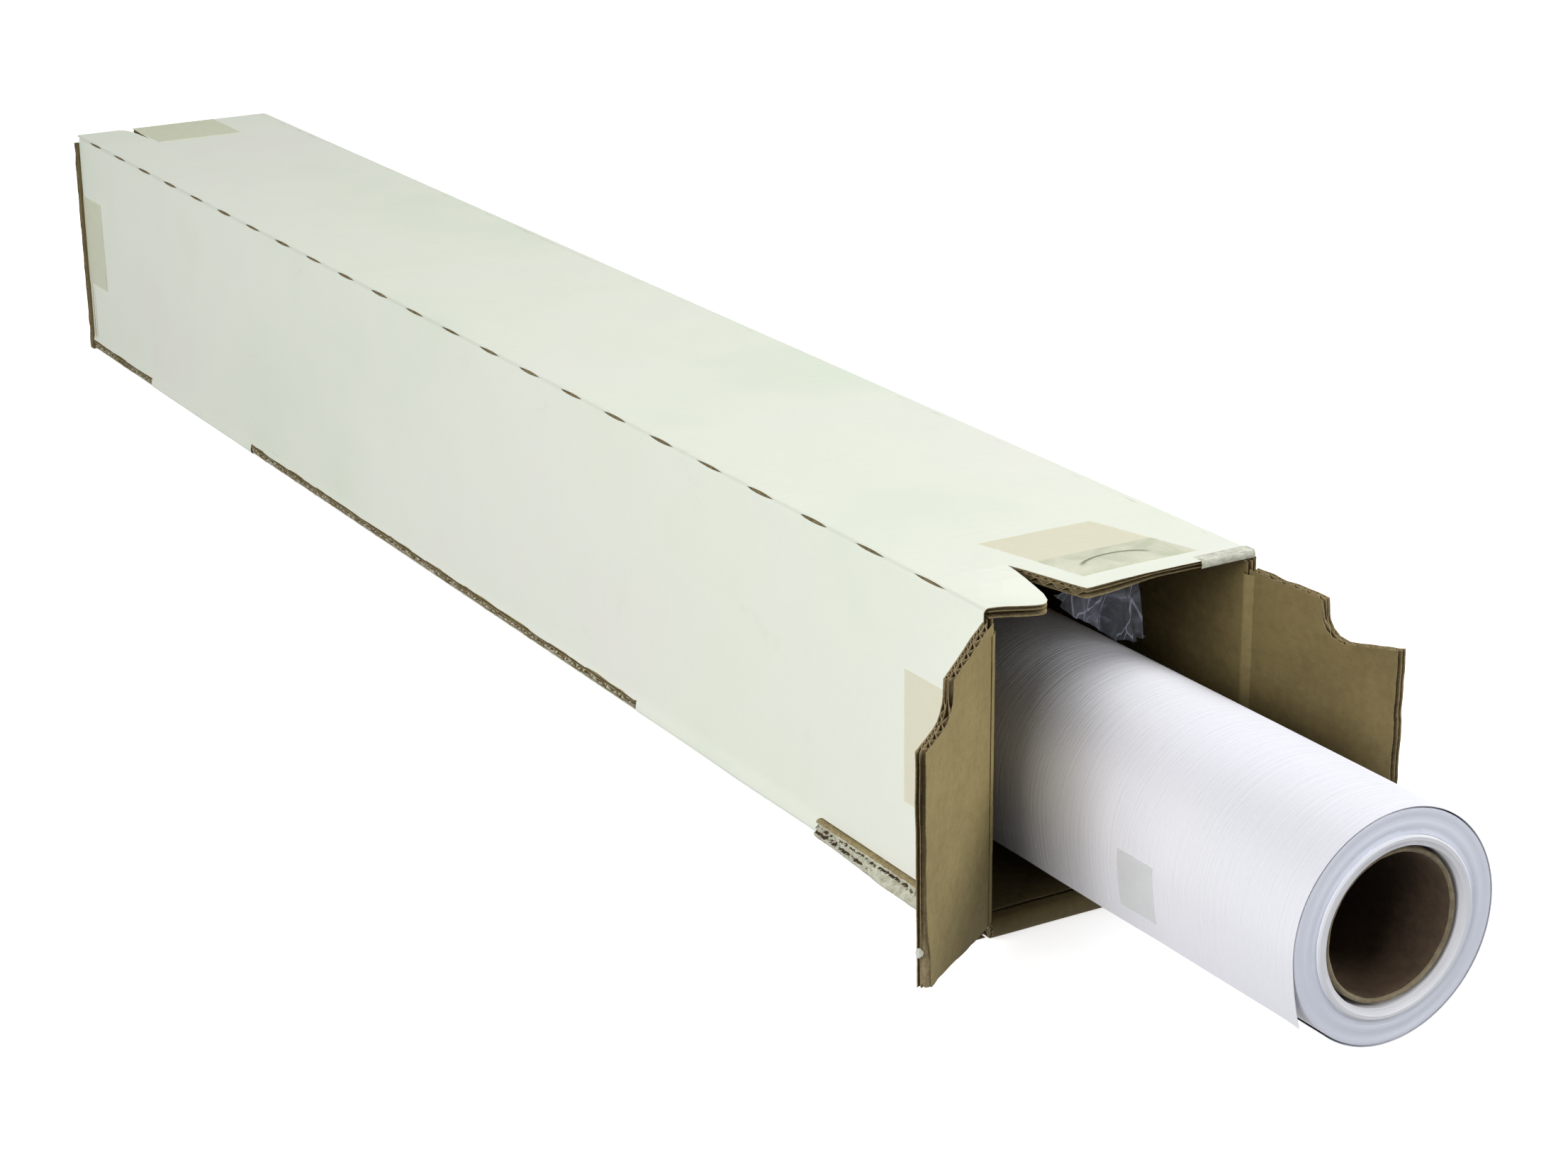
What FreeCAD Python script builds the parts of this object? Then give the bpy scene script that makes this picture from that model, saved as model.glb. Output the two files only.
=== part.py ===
import FreeCAD, Part
import math
import os

# A long carton of double-wall board with a roll of paper drawn part of the way out of it.
# Millimetres. The carton stands on Z = 0 with its base centre at the origin.
# +X runs to the open end, +Y to the right seen from that end, +Z up.

# Driving dimensions
carton_length = 940.0
carton_width = 119.0
carton_height = 127.0
board = 4.0              # thickness of the double-wall board
gap = 0.3                # clearance between panels on different bodies
tape = 0.25              # thickness of a tape strip

# The two floors lie one on the other, and the lower one stands out past the front panel.
floor_overhang = 2.0
end_flap_proud = 1.5     # how far the far end flap stands out past the front panel
front_panel_foot = 5.6   # height of the front panel's raw lower edge
tab_length = 151.0       # length of a lock tab along the carton
tab_ends = 108.0         # from the near end to the near lock tab
far_tab_start = 688.0    # from the near end to the far lock tab
tab_bulge = 1.1          # how far a lock tab stands out past the front panel
tab_lip = 5.0            # how far a lock tab turns in under the carton

# The roll
roll_length = 914.4
roll_protrusion = 147.4
roll_side = 2.8          # offset of the roll's axis from the middle of the carton
roll_axis_height = 50.4
core_bore_radius = 25.4
core_radius = 28.0
inner_turns_radius = 32.4
paper_radius = 41.3
wrap_inner_radius = 41.6
wrap_radius = 42.0
inner_turns_step = 1.2   # how far the turns next to the core stand out at the near end
wrap_edge_angle = 228.0  # where the outer turn's leading edge lies, counted from +Y towards +Z
wrap_edge_slot = 1.5     # degrees left open beside that edge

# The end flaps, as (distance from the crease, height) of each outline point
left_flap = {"crease_top": 122.5, "shoulder": (43.0, 117.0), "hollow": (54.0, 103.0),
             "tip": (72.0, 102.0), "toe": (69.0, 14.7), "heel": (18.0, 9.0), "crease_foot": 8.0}
right_flap = {"crease_top": 120.0, "shoulder": (39.5, 120.0), "hollow": (51.0, 107.0),
              "tip": (78.5, 113.0), "toe": (78.0, 17.0), "heel": (18.0, 10.0), "crease_foot": 8.4}
far_flap = {"crease_top": 120.0, "shoulder": (39.5, 120.0), "hollow": (51.0, 107.0),
            "tip": (74.0, 112.0), "toe": (74.0, 20.0), "heel": (18.0, 10.0), "crease_foot": 9.0}
shoulder_step = 6.0      # the straight drop below a flap's shoulder
left_flap_angle = 52.0   # how far each near flap stands outward from straight ahead
right_flap_angle = 2.5

# The bottom flap, folded back under the carton's near end
bottom_flap_length = 103.0
nose_radius = 3.7
nose_setback = 1.0       # from the near end back to the fold's axis
nose_axis_height = 4.0

# Places worked out from the driving dimensions
near = carton_length / 2
far = -near
left = -carton_width / 2
right = carton_width / 2
inner_left = left + board
inner_right = right - board
under_lid = carton_height - board
floor_top = 2 * board
far_face = far + board + gap          # where the panels stop behind the far end flap
roll_far = near + roll_protrusion - roll_length


def box(low, high):
    """A block between two corners."""
    size = [high[i] - low[i] for i in range(3)]
    return Part.makeBox(size[0], size[1], size[2], FreeCAD.Vector(*low))


def prism(points, direction):
    """A flat polygon swept along a vector."""
    corners = [FreeCAD.Vector(*point) for point in points]
    face = Part.Face(Part.makePolygon(corners + corners[:1]))
    return face.extrude(FreeCAD.Vector(*direction))


def tube(start, length, inner, outer):
    """A tube about the roll's axis."""
    base = FreeCAD.Vector(start, roll_side, roll_axis_height)
    along = FreeCAD.Vector(1, 0, 0)
    solid = Part.makeCylinder(outer, length, base, along)
    return solid.cut(Part.makeCylinder(inner, length, base, along))


def save(name, shape):
    shape.exportStep("parts/" + name + ".step")
    low = shape.BoundBox
    print("%-22s solids %d  volume %9.0f  x %7.1f %7.1f  y %6.1f %6.1f  z %6.1f %6.1f" % (
        name, len(shape.Solids), shape.Volume, low.XMin, low.XMax, low.YMin, low.YMax,
        low.ZMin, low.ZMax))


def tab_spans():
    """The near and the far lock tab, as their lowest and highest X."""
    near_high = near - tab_ends
    far_high = near - far_tab_start
    return (near_high - tab_length, near_high), (far_high - tab_length, far_high)


# Fixed panels of the carton

def lower_floor():
    """The outer floor. Its raw left edge shows, notched where the lock tabs turn under,
    and it is cut away at the near end where the bottom flap lies folded back."""
    flap_room = near - nose_setback - bottom_flap_length - 2.0
    panel = box((far_face, left - floor_overhang, 0.0), (near, right, board))
    panel = panel.cut(box((flap_room, inner_left - gap, 0.0), (near, right, board)))
    notch_clearance = 1.0
    for low, high in tab_spans():
        notch = box((low - notch_clearance, left - floor_overhang, 0.0),
                    (high + notch_clearance, left + tab_lip + notch_clearance, board))
        panel = panel.cut(notch)
    return panel


def upper_floor():
    """The inner floor that the roll lies on. It ends at the bottom flap's fold."""
    end = near - nose_setback - nose_radius - gap
    return box((far_face, inner_left + gap, board), (end, inner_right, floor_top))


def right_wall():
    """The wall on the right, from the lower floor to the lid's crease."""
    return box((far_face, inner_right, board), (near, right, under_lid - gap))


def end_flap(outline):
    """A dust flap in its own plane: X from its crease, thickness from Y = 0 to the board."""
    start = 1.0
    shoulder_x, shoulder_z = outline["shoulder"]
    hollow_x, hollow_z = outline["hollow"]
    step = (shoulder_x + 0.6, shoulder_z - shoulder_step)
    middle = (step[0] + 0.293 * (hollow_x - step[0]), step[1] - 0.707 * (step[1] - hollow_z))

    def place(point):
        return FreeCAD.Vector(point[0], 0.0, point[1])

    corners = [(start, outline["crease_top"]), outline["shoulder"], step]
    rest = [outline["hollow"], outline["tip"], outline["toe"], outline["heel"],
            (start, outline["crease_foot"]), (start, outline["crease_top"])]
    edges = [Part.LineSegment(place(a), place(b)).toShape() for a, b in zip(corners, corners[1:])]
    edges.append(Part.Arc(place(step), place(middle), place(outline["hollow"])).toShape())
    edges += [Part.LineSegment(place(a), place(b)).toShape() for a, b in zip(rest, rest[1:])]
    face = Part.Face(Part.Wire(edges))
    return face.extrude(FreeCAD.Vector(0.0, board, 0.0))


def turned(shape, angle, place):
    """A copy turned about the vertical and then moved."""
    copy = shape.copy()
    copy.rotate(FreeCAD.Vector(0, 0, 0), FreeCAD.Vector(0, 0, 1), angle)
    copy.translate(FreeCAD.Vector(*place))
    return copy


def mirrored(shape):
    return shape.mirror(FreeCAD.Vector(0, 0, 0), FreeCAD.Vector(0, 1, 0))


def near_left_flap():
    return turned(end_flap(left_flap), -left_flap_angle, (near, left, 0.0))


def near_right_flap():
    return turned(mirrored(end_flap(right_flap)), right_flap_angle, (near, right, 0.0))


def far_left_flap():
    """Folded in square behind the far end flap, on the front panel's end."""
    return turned(mirrored(end_flap(far_flap)), 90.0, (far_face, inner_left - 1.0, 0.0))


def far_right_flap():
    """Folded in square behind the left one, on the right wall's end."""
    return turned(end_flap(far_flap), -90.0, (far_face + board + gap, inner_right, 0.0))


def far_end_flap():
    """The outer flap that closes the far end. It stands a little proud of the front face."""
    return box((far, left - end_flap_proud, 0.1), (far + board, right - gap, under_lid - gap))


def near_bottom_flap():
    """The near end's bottom flap: folded back flat under the carton, with a round nose."""
    axis_x = near - nose_setback
    low = inner_left + gap
    width = inner_right - gap - low
    nose = Part.makeCylinder(nose_radius, width, FreeCAD.Vector(axis_x, low, nose_axis_height),
                             FreeCAD.Vector(0, 1, 0))
    plate = box((axis_x - bottom_flap_length, low, nose_axis_height - nose_radius),
                (axis_x, low + width, nose_axis_height - 0.1))
    return nose.fuse(plate).removeSplitter()


# The lid and the front panel

def top_panel():
    """The lid, with a slit in from each end that frees a corner tab on its left side."""
    panel = box((far, left, under_lid), (near, right, carton_height))
    wedge = [(33.0, 32.5), (14.0, 39.0), (2.0, 43.0), (-1.0, 44.0), (-1.0, 27.0), (3.0, 29.5),
             (8.0, 32.0)]
    for end, inward in ((near, -1.0), (far, 1.0)):
        points = [(end + inward * x, left + y, under_lid) for x, y in wedge]
        panel = panel.cut(prism(points, (0, 0, board)))
    return panel


def front_panel():
    """The outer panel on the left, hung from the lid by the slit-scored crease."""
    return box((far_face, left, front_panel_foot), (near, inner_left, under_lid - gap))


def lock_tab(span):
    """A lock tab: it runs down past the lower floor's notch and its lip turns in under."""
    low, high = span
    inset = 1.0
    outline = [(left, front_panel_foot), (left - tab_bulge, 3.2), (left - 0.8 * tab_bulge, 1.2),
               (left + 0.6, 0.15), (left + tab_lip, 0.15), (left + tab_lip, 1.5),
               (left + 3.6, 2.4), (left + 3.8, front_panel_foot)]
    points = [(low + inset, y, z) for y, z in outline]
    return prism(points, (high - low - 2 * inset, 0, 0))


def top_tape(low, high, y_low, y_high, slant):
    """A strip of tape on the lid, from one X to the other, skewed across by the slant."""
    points = [(low, y_low, carton_height), (high, y_low + slant, carton_height),
              (high, y_high + slant, carton_height), (low, y_high, carton_height)]
    return prism(points, (0, 0, tape))


def side_tape(low, high, z_low, z_high):
    """A strip of tape on the front panel."""
    return box((low, left - tape, z_low), (high, left, z_high))


def far_top_tape():
    """The lid's half of the far tape: along the lid and down over its raw end."""
    strip = top_tape(far - tape, far + 45.0, left + 34.0, left + 84.0, 0.0)
    turn_down = box((far - tape, left + 34.0, under_lid), (far, left + 84.0, carton_height))
    return strip.fuse(turn_down).removeSplitter()


def far_end_tape_top():
    """The half of the far lid tape that is stuck to the far end flap."""
    return box((far - tape, left + 34.0, 92.0), (far, left + 84.0, under_lid - gap))


def far_end_tape_side():
    """The end flap's half of the far side tape, turned round the flap's raw edge."""
    edge = left - end_flap_proud
    face = box((far - tape, edge - tape, 41.0), (far, left + 34.0, 92.0))
    turn = box((far, edge - tape, 41.0), (far + board, edge, 92.0))
    return face.fuse(turn).removeSplitter()


# The loose bag

def poly_bag():
    """The roll's film bag, pushed back into a bunch between the roll and the lid."""
    start = near - 74.0
    length = 63.0
    outline = [(-16.0, under_lid - 1.5), (46.0, under_lid - 1.5), (50.5, 77.0), (43.5, 75.0),
               (30.0, 88.0), (-12.0, 98.0)]
    bunch = prism([(start, y, z) for y, z in outline], (length, 0, 0))
    axis = FreeCAD.Vector(start, roll_side, roll_axis_height)
    room = Part.makeCylinder(wrap_radius + 2.0, length, axis, FreeCAD.Vector(1, 0, 0))
    return bunch.cut(room)


# The roll

def core():
    return tube(roll_far, roll_length, core_bore_radius, core_radius)


def inner_turns():
    """The tight turns next to the core, a little forward of the rest."""
    return tube(roll_far + inner_turns_step, roll_length, core_radius, inner_turns_radius)


def wound_paper():
    return tube(roll_far, roll_length, inner_turns_radius, paper_radius)


def outer_wrap():
    """The outermost turn, open beside its leading edge."""
    shell = tube(roll_far, roll_length, wrap_inner_radius, wrap_radius)
    reach = wrap_radius + 5.0
    first = math.radians(wrap_edge_angle)
    second = math.radians(wrap_edge_angle + wrap_edge_slot)
    points = [(roll_far, roll_side, roll_axis_height)]
    for angle in (first, second):
        points.append((roll_far, roll_side + reach * math.cos(angle),
                       roll_axis_height + reach * math.sin(angle)))
    return shell.cut(prism(points, (roll_length, 0, 0)))


def sheet_tape():
    """The small tab of clear tape on the outer turn, running down over its leading edge."""
    start = near + 53.0
    width = 20.0
    patch = tube(start, width, wrap_radius, wrap_radius + tape)
    keep_from = math.radians(178.0)
    keep_to = math.radians(wrap_edge_angle - 1.0)
    reach = wrap_radius * 1.3
    middle = (keep_from + keep_to) / 2
    points = [(start, roll_side, roll_axis_height)]
    for angle in (keep_from, middle, keep_to):
        points.append((start, roll_side + reach * math.cos(angle),
                       roll_axis_height + reach * math.sin(angle)))
    return patch.common(prism(points, (width, 0, 0)))


os.makedirs("parts", exist_ok=True)
near_tab, far_tab = tab_spans()
save("lower_floor", lower_floor())
save("upper_floor", upper_floor())
save("right_wall", right_wall())
save("top_panel", top_panel())
save("front_panel", front_panel())
save("near_lock_tab", lock_tab(near_tab))
save("far_lock_tab", lock_tab(far_tab))
save("near_left_flap", near_left_flap())
save("near_right_flap", near_right_flap())
save("near_bottom_flap", near_bottom_flap())
save("far_left_flap", far_left_flap())
save("far_right_flap", far_right_flap())
save("far_end_flap", far_end_flap())
save("near_top_tape", top_tape(near - 58.0, near - 10.0, left + 36.5, left + 86.5, 13.0))
save("far_top_tape", far_top_tape())
save("near_side_tape", side_tape(near - 50.0, near - 0.5, 36.5, 88.5))
save("far_side_tape", side_tape(far_face, far + 34.0, 41.0, 92.0))
save("far_end_tape_top", far_end_tape_top())
save("far_end_tape_side", far_end_tape_side())
save("poly_bag", poly_bag())
save("core", core())
save("inner_turns", inner_turns())
save("wound_paper", wound_paper())
save("outer_wrap", outer_wrap())
save("sheet_tape", sheet_tape())
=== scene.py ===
from math import copysign, cos, hypot, pi, radians, sin, sqrt

import bmesh
import bpy
import numpy as np
from mathutils import Matrix, Vector, noise


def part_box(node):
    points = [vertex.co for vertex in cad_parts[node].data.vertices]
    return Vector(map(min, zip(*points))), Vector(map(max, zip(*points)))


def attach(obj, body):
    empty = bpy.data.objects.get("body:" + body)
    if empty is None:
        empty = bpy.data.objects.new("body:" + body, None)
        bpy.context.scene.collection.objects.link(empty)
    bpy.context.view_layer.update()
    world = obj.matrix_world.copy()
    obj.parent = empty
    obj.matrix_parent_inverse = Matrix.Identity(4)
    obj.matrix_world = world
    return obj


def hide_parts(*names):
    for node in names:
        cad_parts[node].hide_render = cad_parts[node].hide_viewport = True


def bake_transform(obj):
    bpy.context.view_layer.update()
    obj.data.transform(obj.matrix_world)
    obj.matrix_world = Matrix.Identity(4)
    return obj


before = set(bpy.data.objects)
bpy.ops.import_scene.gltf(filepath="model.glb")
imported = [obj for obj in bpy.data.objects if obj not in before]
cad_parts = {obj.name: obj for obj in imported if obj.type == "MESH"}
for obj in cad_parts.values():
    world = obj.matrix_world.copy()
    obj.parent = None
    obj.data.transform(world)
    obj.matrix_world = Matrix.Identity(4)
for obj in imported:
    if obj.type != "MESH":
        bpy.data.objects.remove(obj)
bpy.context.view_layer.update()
mm = 0.001
print("frame loaded")


class Value:
    # one output socket, so that sums on it add Math nodes
    def __init__(self, surface, socket):
        self.surface, self.socket = surface, socket

    def maths(self, operation, a, b=0.0):
        return self.surface.node("Math", {"operation": operation}, {0: a, 1: b})

    def __add__(self, other):
        return self.maths("ADD", self, other)

    def __sub__(self, other):
        return self.maths("SUBTRACT", self, other)

    def __rsub__(self, other):
        return self.maths("SUBTRACT", other, self)

    def __mul__(self, other):
        return self.maths("MULTIPLY", self, other)

    def __truediv__(self, other):
        return self.maths("DIVIDE", self, other)

    def clip(self):
        made = self.maths("ADD", self)
        made.socket.node.use_clamp = True
        return made

    def step(self, low, high):
        # 0 below low and 1 above high, smooth between
        kind = {"interpolation_type": "SMOOTHSTEP"}
        return self.surface.node("MapRange", kind, {"Value": self, "From Min": low, "From Max": high})

    __radd__, __rmul__ = __add__, __mul__


class Surface:
    def __init__(self, name, **uniform):
        self.material = bpy.data.materials.new(name)
        self.material.use_nodes = True
        self.tree = self.material.node_tree
        self.shader = self.tree.nodes["Principled BSDF"]
        self.point = self.node("TexCoord", out="Object")
        for socket, value in uniform.items():
            self.shader.inputs[socket.replace("_", " ")].default_value = value

    def node(self, kind, settings=None, sockets=None, out=0):
        made = self.tree.nodes.new("ShaderNode" + kind)
        for name, value in (settings or {}).items():
            if name == "stops":
                ramp = made.color_ramp.elements
                for place, colour in value[1:-1]:
                    ramp.new(place)
                for stop, (place, colour) in zip(ramp, value):
                    stop.position, stop.color = place, (*colour, 1)
            else:
                setattr(made, name, value)
        for name, value in (sockets or {}).items():
            self.feed(made.inputs[name], value)
        return Value(self, made.outputs[out])

    def feed(self, socket, value):
        if isinstance(value, Value):
            self.tree.links.new(value.socket, socket)
        else:
            socket.default_value = value

    def set(self, name, value):
        self.feed(self.shader.inputs[name], value)

    def stretched(self, x, y, z):
        return self.node("Mapping", None, {"Vector": self.point, "Scale": (x, y, z)})

    def grain(self, scale, detail=3.0, rough=0.55, vector=None, warp=0.0):
        sockets = {"Vector": vector or self.point, "Scale": scale, "Detail": detail,
                   "Roughness": rough, "Distortion": warp}
        return self.node("TexNoise", None, sockets, "Fac")

    def mix(self, share, a, b):
        sockets = {0: share, 6: a if isinstance(a, Value) else (*a, 1),
                   7: b if isinstance(b, Value) else (*b, 1)}
        return self.node("Mix", {"data_type": "RGBA"}, sockets, 2)

    def ramp(self, value, stops):
        return self.node("ValToRGB", {"stops": stops}, {0: value}, "Color")

    def bump(self, height, depth):
        # heights are in millimetres
        return self.node("Bump", None, {"Height": height, "Distance": depth * mm, "Strength": 1.0}, "Normal")

    def axis(self, name):
        return self.node("SeparateXYZ", None, {0: self.point}, name)


def coatedBoard():
    # the clay-coated white face of the carton
    s = Surface("coatedBoard", IOR=1.45)
    cloud = s.grain(7, 3, 0.6)
    fibre = s.grain(900, 4, 0.7)
    blotch = s.grain(38, 4, 0.65, warp=0.6)
    base = s.ramp(cloud, [(0.3, (0.745, 0.81, 0.685)), (0.52, (0.80, 0.84, 0.735)), (0.75, (0.82, 0.82, 0.75))])
    soiled = s.mix(blotch.step(0.62, 0.85) * 0.35, base, (0.66, 0.66, 0.56))
    s.set("Base Color", s.mix(fibre.step(0.35, 0.8) * 0.10, soiled, (0.70, 0.70, 0.62)))
    s.set("Roughness", 0.46 + 0.16 * blotch)
    ribs = {"Vector": s.point, "Scale": 48.0, "Distortion": 0.4}
    washboard = s.node("TexWave", {"bands_direction": "X"}, ribs, "Fac")
    s.set("Normal", s.bump(fibre * 0.05 + washboard * 0.02 + blotch * 0.25, 1.0))
    return s.material


def kraft(name, pale, dark, along):
    # kraft liner: brown paper with fibres and specks
    s = Surface(name, IOR=1.4)
    fibre = s.grain(1, 4, 0.65, vector=s.stretched(*along))
    cloud = s.grain(22, 5, 0.62, warp=0.4)
    mottle = s.grain(260, 3, 0.6)
    speck = s.grain(1500, 2, 0.6)
    tone = (fibre * 0.18 + cloud * 0.50 + mottle * 0.32).step(0.37, 0.63)
    colour = s.mix(tone, dark, pale)
    colour = s.mix(speck.step(0.58, 0.76) * 0.45, colour, tuple(0.5 * c for c in dark))
    s.set("Base Color", colour)
    s.set("Roughness", 0.78 + 0.12 * cloud)
    s.set("Normal", s.bump(fibre * 0.10 + speck * 0.07 + mottle * 0.05, 1.0))
    return s.material


def rawPaper(name, pale, dark, size=700):
    # torn or cut paper fibre at an edge
    s = Surface(name, IOR=1.35)
    fuzz = s.grain(size, 5, 0.75, warp=0.5)
    patch = s.grain(60, 3, 0.6)
    s.set("Base Color", s.mix((fuzz * 0.7 + patch * 0.3).step(0.34, 0.66), dark, pale))
    s.set("Roughness", 0.86 + 0.1 * fuzz)
    s.set("Normal", s.bump(fuzz * 0.35, 1.0))
    return s.material


def papered(name, base, dirt):
    # plain bond paper round the roll, with a fine cross-wound texture
    s = Surface(name, IOR=1.45)
    cloud = s.grain(14, 3, 0.55)
    band = s.grain(1, 3, 0.6, vector=s.stretched(820, 26, 26))
    fine = s.grain(1, 3, 0.65, vector=s.stretched(1500, 240, 240))
    s.set("Base Color", s.mix(cloud.step(0.35, 0.8) * 0.35, base, dirt))
    s.set("Roughness", 0.55 + 0.12 * cloud)
    s.set("Normal", s.bump(band * 0.32 + fine * 0.12, 1.0))
    return s.material


def paperEdges(name, base, dark):
    # the edges of hundreds of turns, seen as rings about the roll's axis
    s = Surface(name, IOR=1.4)
    y, z = s.axis("Y") - rollAxis[1] * mm, s.axis("Z") - rollAxis[2] * mm
    radius = s.node("Math", {"operation": "SQRT"}, {0: y * y + z * z})
    flat = s.node("CombineXYZ", None, {"X": radius * 3200, "Y": 0.0, "Z": 0.0})
    turns = s.grain(1, 3, 0.7, vector=flat)
    coarse = s.grain(1, 2, 0.5, vector=s.node("CombineXYZ", None, {"X": radius * 420, "Y": 0.0, "Z": 0.0}))
    cloud = s.grain(40, 3, 0.6)
    s.set("Base Color", s.mix((turns * 0.5 + coarse * 0.35 + cloud * 0.25).step(0.4, 0.8), base, dark))
    s.set("Roughness", 0.62 + 0.1 * cloud)
    s.set("Normal", s.bump(turns * 0.10 + coarse * 0.12, 1.0))
    return s.material


def tapeStrip(name, base, crepe, clear, mark=None, **uniform):
    # thin tape, more or less clear, crinkled
    s = Surface(name, **uniform)
    crinkle = s.grain(1, 4, 0.65, vector=s.stretched(900, 300, 300))
    cloud = s.grain(60, 4, 0.6, warp=0.8)
    colour = s.mix(cloud.step(0.3, 0.75), base, crepe)
    height = crinkle * 0.06 + cloud * 0.22
    cover = clear + 0.16 * cloud
    if mark:
        # a dark crescent painted as the shade of a pressed wrinkle, an arc of an ellipse about mark["centre"]
        x = (s.axis("X") - mark["centre"][0] * mm) / (mark["radii"][0] * mm)
        y = (s.axis("Y") - mark["centre"][1] * mm) / (mark["radii"][1] * mm)
        ring = s.node("Math", {"operation": "SQRT"}, {0: x * x + y * y})
        off = s.node("Math", {"operation": "ABSOLUTE"}, {0: ring - 1})
        crescent = (1 - off.step(0.02, mark["wide"])) * (1 - x.step(-0.55, -0.05))
        colour = s.mix(crescent, colour, mark["colour"])
        height = height - crescent * 0.4
        cover = (cover + crescent * 0.3).clip()
    s.set("Base Color", colour)
    s.set("Roughness", 0.38 + 0.3 * cloud)
    s.set("Normal", s.bump(height, 1.0))
    s.set("Alpha", cover)
    return s.material


def filmSheet():
    # clear film, whiter along its creases
    s = Surface("clearFilm", Base_Color=(0.70, 0.76, 0.92, 1), Roughness=0.2, IOR=1.5)
    cloud = s.grain(90, 4, 0.6, warp=1.2)
    cells = {"Vector": s.stretched(60, 110, 20), "Scale": 1.0}
    crease = s.node("TexVoronoi", {"feature": "DISTANCE_TO_EDGE"}, cells, "Distance")
    line = 1 - crease.step(0.0, 0.035)
    s.set("Alpha", (0.13 + 0.24 * cloud.step(0.42, 0.74) + 0.42 * line).clip())
    s.set("Normal", s.bump(cloud * 0.8 + line * 0.3, 1.0))
    return s.material


rollLow, rollHigh = (np.array(corner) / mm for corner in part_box("outer_wrap"))
rollAxis = (rollLow + rollHigh) / 2
white = coatedBoard()
kraftIn = kraft("kraftLiner", (0.185, 0.141, 0.055), (0.140, 0.105, 0.040), (120, 120, 900))
# a lighter copy of the same kraft liner, with painted light, for the near left flap and its crease
litKraftPainted = kraft("kraftPaintedLight", (0.285, 0.226, 0.090), (0.215, 0.167, 0.062), (120, 120, 900))
# a lighter copy of the same kraft liner: a painted highlight on the right flap's rounded crease ridge
creaseHighlightKraft = kraft("foldKraftPaintedHighlight", (0.250, 0.195, 0.082), (0.180, 0.138, 0.054), (120, 120, 900))
rawBrown = rawPaper("cutKraftEdge", (0.36, 0.29, 0.15), (0.16, 0.117, 0.055))
rawGrey = rawPaper("crushedLiner", (0.64, 0.655, 0.54), (0.36, 0.335, 0.235), 420)
kraftEdge = rawPaper("rawKraftRim", (0.40, 0.325, 0.165), (0.20, 0.15, 0.07))
# openFlute: near-black paint standing for the shade inside the open broken flutes
fluteHoleShade = rawPaper("openFlute", (0.085, 0.062, 0.034), (0.04, 0.028, 0.016), 500)
peeled = rawPaper("peeledLiner", (0.70, 0.72, 0.63), (0.43, 0.42, 0.33), 300)
fluting = rawPaper("fluting", (0.42, 0.335, 0.185), (0.25, 0.19, 0.10), 500)
print("board materials made")


def cadCorners(node):
    low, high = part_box(node)
    return np.array(low) / mm, np.array(high) / mm


def smoothNoise(x, seed, size):
    # between -1 and 1, changing over about size millimetres
    return np.array([noise.noise((float(v) / size, seed * 7.31, 0.37)) for v in np.ravel(x)]) * 1.6


def dents(u, v, sizeU, sizeV, seed):
    # noise over a surface, changing over sizeU and sizeV millimetres
    return np.array([noise.noise((a / sizeU, b / sizeV, seed)) for a, b in zip(u, v)])


def ripple(x, size, seed):
    # noise along a line
    return np.array([noise.noise((a / size, seed, 0)) for a in x])


def ease(t):
    t = np.clip(t, 0, 1)
    return t * t * (3 - 2 * t)


def rectangle(left, low, right, high):
    return [(left, low), (right, low), (right, high), (left, high)]


class Shape:
    def __init__(self):
        self.points, self.faces, self.marks, self.count = [], [], [], 0

    def add(self, points, faces, marks):
        points = np.asarray(points, float).reshape(-1, 3)
        self.points.append(points)
        self.faces += [tuple(int(i) + self.count for i in f) for f in faces]
        self.marks += list(marks) if hasattr(marks, "__len__") else [marks] * len(faces)
        self.count += len(points)

    def sweep(self, rings, marks=0, closed=True):
        # joins each ring of points to the next; marks may be one number per side of the ring
        rings = np.asarray(rings, float)
        n, m = rings.shape[:2]
        sides = m if closed else m - 1
        faces, given = [], []
        for i in range(n - 1):
            for j in range(sides):
                k = (j + 1) % m
                faces.append((i * m + j, i * m + k, (i + 1) * m + k, (i + 1) * m + j))
                given.append(marks[j] if hasattr(marks, "__len__") else marks)
        if closed:
            for end in (0, n - 1):
                faces.append(tuple(end * m + j for j in range(m)))
                given.append(given[0])
        self.add(rings.reshape(-1, 3), faces, given)

    def make(self, name, materials, smooth=False, angle=35):
        mesh = bpy.data.meshes.new(name)
        mesh.from_pydata((np.concatenate(self.points) * mm).tolist(), [], self.faces)
        for material in materials:
            mesh.materials.append(material)
        mesh.polygons.foreach_set("material_index", self.marks)
        bm = bmesh.new()
        bm.from_mesh(mesh)
        bmesh.ops.recalc_face_normals(bm, faces=bm.faces)
        bm.to_mesh(mesh)
        bm.free()
        mesh.polygons.foreach_set("use_smooth", [bool(smooth)] * len(mesh.polygons))
        if smooth:
            mesh.set_sharp_from_angle(angle=radians(angle))
        obj = bpy.data.objects.new(name, mesh)
        bpy.context.scene.collection.objects.link(obj)
        return obj


def place(obj, body, slot, *nodes):
    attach(obj, body)
    if nodes:
        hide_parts(*nodes)
    return obj


def sweptPiece(name, rings, material, body, slot, *nodes, angle=60):
    shape = Shape()
    shape.sweep(rings)
    place(shape.make(name, [material], smooth=True, angle=angle), body, slot, *nodes)


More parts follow.
